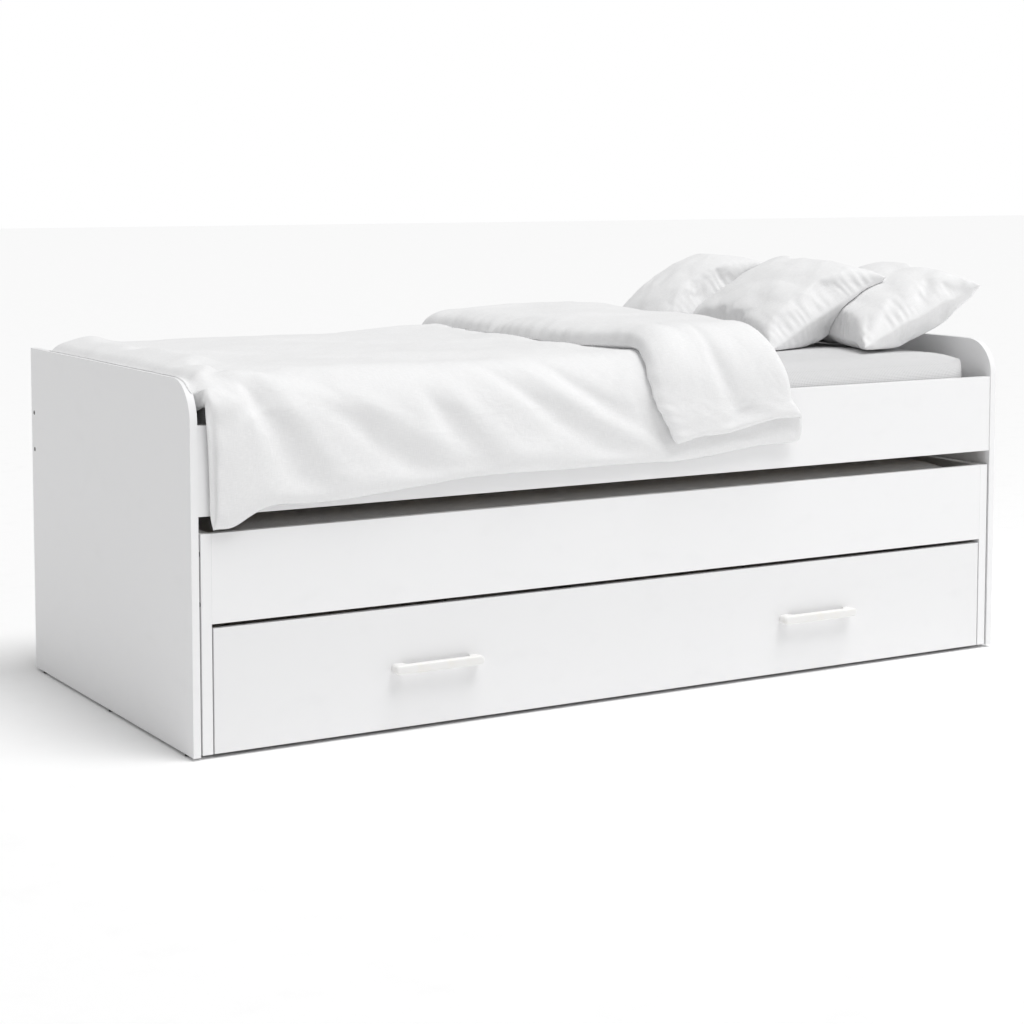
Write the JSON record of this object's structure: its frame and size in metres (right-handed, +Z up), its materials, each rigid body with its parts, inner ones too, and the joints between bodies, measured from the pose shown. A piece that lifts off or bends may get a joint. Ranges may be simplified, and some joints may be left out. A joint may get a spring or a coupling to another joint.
{
  "type": "trundle bed",
  "caption": "White board daybed with a roll-out lower bed and a wide rolling storage drawer beneath it, dressed with duvet and pillows.",
  "frame": {"origin": "floor level, at the middle of the length, halfway between the handles' faces and the end panels' back edges", "axes": "+X along the bed towards the head end, +Y towards the back, so the open front faces -Y, +Z up"},
  "size_m": [2.07, 0.963, 0.9626],
  "materials": {
    "white_board": "white melamine-faced board, satin",
    "drawer_front_board": "white melamine-faced board, satin",
    "beech_slats": "bare pale wood",
    "pine_batten": "planed softwood",
    "drawer_lining": "white faced hardboard",
    "mattress_cover": "light grey knitted cover",
    "white_cotton": "white cotton percale, soft",
    "webbing": "woven tape",
    "handle_white": "white moulded, soft gloss",
    "glide_black": "black moulded",
    "wheel_grey": "grey castor wheel",
    "zinc": "bright zinc plate",
    "dark_screw": "darkened steel screw head"
  },
  "bodies": {
    "bed_frame": {"foot_end_panel": "white_board", "head_end_panel": "white_board", "front_rail": "white_board", "back_rail": "white_board", "bed_front_ledge": "pine_batten", "bed_back_ledge": "pine_batten", "bed_beam": "pine_batten", "bed_slats": "beech_slats", "bed_slat_straps": "webbing", "bed_beam_brackets": "zinc", "bed_mattress": "mattress_cover", "duvet": "white_cotton", "pillow_head": "white_cotton", "pillow_near": "white_cotton", "pillow_far": "white_cotton", "floor_glides": "glide_black", "back_rail_screws": "dark_screw", "front_rail_cams": "zinc", "front_rail_cam_bolts": "zinc", "bed_ledge_screws": "zinc"},
    "trundle": {"trundle_left_board": "white_board", "trundle_right_board": "white_board", "trundle_front_rail": "white_board", "trundle_back_rail": "white_board", "trundle_back_stretcher": "white_board", "trundle_front_ledge": "pine_batten", "trundle_back_ledge": "pine_batten", "trundle_beam": "pine_batten", "trundle_slats": "beech_slats", "trundle_slat_straps": "webbing", "trundle_beam_brackets": "zinc", "trundle_mattress": "mattress_cover", "trundle_board_screws": "zinc", "trundle_ledge_screws": "zinc", "trundle_castor_brackets": "zinc", "trundle_castor_axles": "zinc", "trundle_castor_screws": "zinc"},
    "drawer": {"drawer_front": "drawer_front_board", "drawer_left_side": "drawer_lining", "drawer_right_side": "drawer_lining", "drawer_back": "drawer_lining", "drawer_divider": "drawer_lining", "drawer_bottom": "drawer_lining", "drawer_battens": "pine_batten", "left_handle": "handle_white", "right_handle": "handle_white", "handle_screws": "zinc", "drawer_box_screws": "zinc", "drawer_corner_brackets": "zinc", "drawer_castor_brackets": "zinc", "drawer_castor_axles": "zinc", "drawer_castor_screws": "zinc"},
    "trundle_wheel_front_left": {"trundle_wheel_front_left": "wheel_grey"},
    "trundle_wheel_front_right": {"trundle_wheel_front_right": "wheel_grey"},
    "trundle_wheel_back_left": {"trundle_wheel_back_left": "wheel_grey"},
    "trundle_wheel_back_right": {"trundle_wheel_back_right": "wheel_grey"},
    "drawer_wheel_front_left": {"drawer_wheel_front_left": "wheel_grey"},
    "drawer_wheel_front_right": {"drawer_wheel_front_right": "wheel_grey"},
    "drawer_wheel_back_left": {"drawer_wheel_back_left": "wheel_grey"},
    "drawer_wheel_back_right": {"drawer_wheel_back_right": "wheel_grey"}
  },
  "joints": [
    {"name": "trundle_slide", "type": "slide", "parent": "bed_frame", "child": "trundle", "axis": [0, -1, 0], "range_m": [0, 0.88]},
    {"name": "drawer_slide", "type": "slide", "parent": "trundle", "child": "drawer", "axis": [0, -1, 0], "range_m": [0, 0.62]},
    {"name": "trundle_front_left_wheel_spin", "type": "hinge", "parent": "trundle", "child": "trundle_wheel_front_left", "pos_m": [-0.9789, -0.3705, 0.022], "axis": [1, 0, 0], "continuous": true},
    {"name": "trundle_front_right_wheel_spin", "type": "hinge", "parent": "trundle", "child": "trundle_wheel_front_right", "pos_m": [0.9789, -0.3705, 0.022], "axis": [1, 0, 0], "continuous": true},
    {"name": "trundle_back_left_wheel_spin", "type": "hinge", "parent": "trundle", "child": "trundle_wheel_back_left", "pos_m": [-0.9789, 0.3855, 0.022], "axis": [1, 0, 0], "continuous": true},
    {"name": "trundle_back_right_wheel_spin", "type": "hinge", "parent": "trundle", "child": "trundle_wheel_back_right", "pos_m": [0.9789, 0.3855, 0.022], "axis": [1, 0, 0], "continuous": true},
    {"name": "drawer_front_left_wheel_spin", "type": "hinge", "parent": "drawer", "child": "drawer_wheel_front_left", "pos_m": [-0.9179, -0.3705, 0.022], "axis": [1, 0, 0], "continuous": true},
    {"name": "drawer_front_right_wheel_spin", "type": "hinge", "parent": "drawer", "child": "drawer_wheel_front_right", "pos_m": [0.9179, -0.3705, 0.022], "axis": [1, 0, 0], "continuous": true},
    {"name": "drawer_back_left_wheel_spin", "type": "hinge", "parent": "drawer", "child": "drawer_wheel_back_left", "pos_m": [-0.9179, 0.3275, 0.022], "axis": [1, 0, 0], "continuous": true},
    {"name": "drawer_back_right_wheel_spin", "type": "hinge", "parent": "drawer", "child": "drawer_wheel_back_right", "pos_m": [0.9179, 0.3275, 0.022], "axis": [1, 0, 0], "continuous": true}
  ],
  "couplings": [
    {"joint": "trundle_front_left_wheel_spin", "follows": "trundle_slide", "rad_per_m": 45.455},
    {"joint": "trundle_front_right_wheel_spin", "follows": "trundle_slide", "rad_per_m": 45.455},
    {"joint": "trundle_back_left_wheel_spin", "follows": "trundle_slide", "rad_per_m": 45.455},
    {"joint": "trundle_back_right_wheel_spin", "follows": "trundle_slide", "rad_per_m": 45.455},
    {"joint": "drawer_front_left_wheel_spin", "follows": "drawer_slide", "rad_per_m": 45.455},
    {"joint": "drawer_front_right_wheel_spin", "follows": "drawer_slide", "rad_per_m": 45.455},
    {"joint": "drawer_back_left_wheel_spin", "follows": "drawer_slide", "rad_per_m": 45.455},
    {"joint": "drawer_back_right_wheel_spin", "follows": "drawer_slide", "rad_per_m": 45.455}
  ]
}
